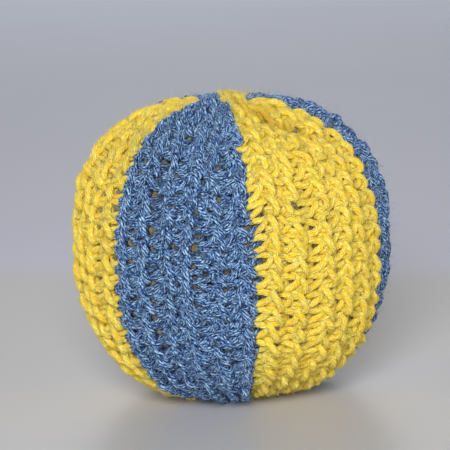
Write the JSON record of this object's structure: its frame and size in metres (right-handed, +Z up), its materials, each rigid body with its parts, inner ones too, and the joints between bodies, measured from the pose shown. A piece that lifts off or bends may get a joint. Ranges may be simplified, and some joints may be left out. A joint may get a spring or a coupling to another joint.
{
  "type": "crocheted stuffed ball",
  "caption": "Soft stuffed ball crocheted in alternating denim-blue and lemon-yellow ribbed panels that are gathered at the top and bottom, for indoor and garden play.",
  "frame": {"origin": "middle of the small flat that the ball rests on", "axes": "+Z up along the line through the two gathers, -Y towards the viewer of the picture, +X to the viewer's right"},
  "size_m": [0.0997, 0.0999, 0.0941],
  "materials": {
    "blue_yarn": "denim-blue plied yarn worked in back-loop crochet, matt and slightly fuzzy",
    "yellow_yarn": "lemon-yellow plied yarn worked in back-loop crochet, matt and slightly fuzzy",
    "fibre_filling": "loose ochre-toned fibre filling, seen only through the gaps between stitches"
  },
  "bodies": {
    "root": {"panel_1_blue": "blue_yarn", "panel_2_yellow": "yellow_yarn", "panel_3_blue": "blue_yarn", "panel_4_yellow": "yellow_yarn", "panel_5_blue": "blue_yarn", "panel_6_yellow": "yellow_yarn", "closing_seam": "yellow_yarn", "top_gather": "yellow_yarn", "bottom_gather": "blue_yarn", "stuffing": "fibre_filling"}
  },
  "joints": []
}
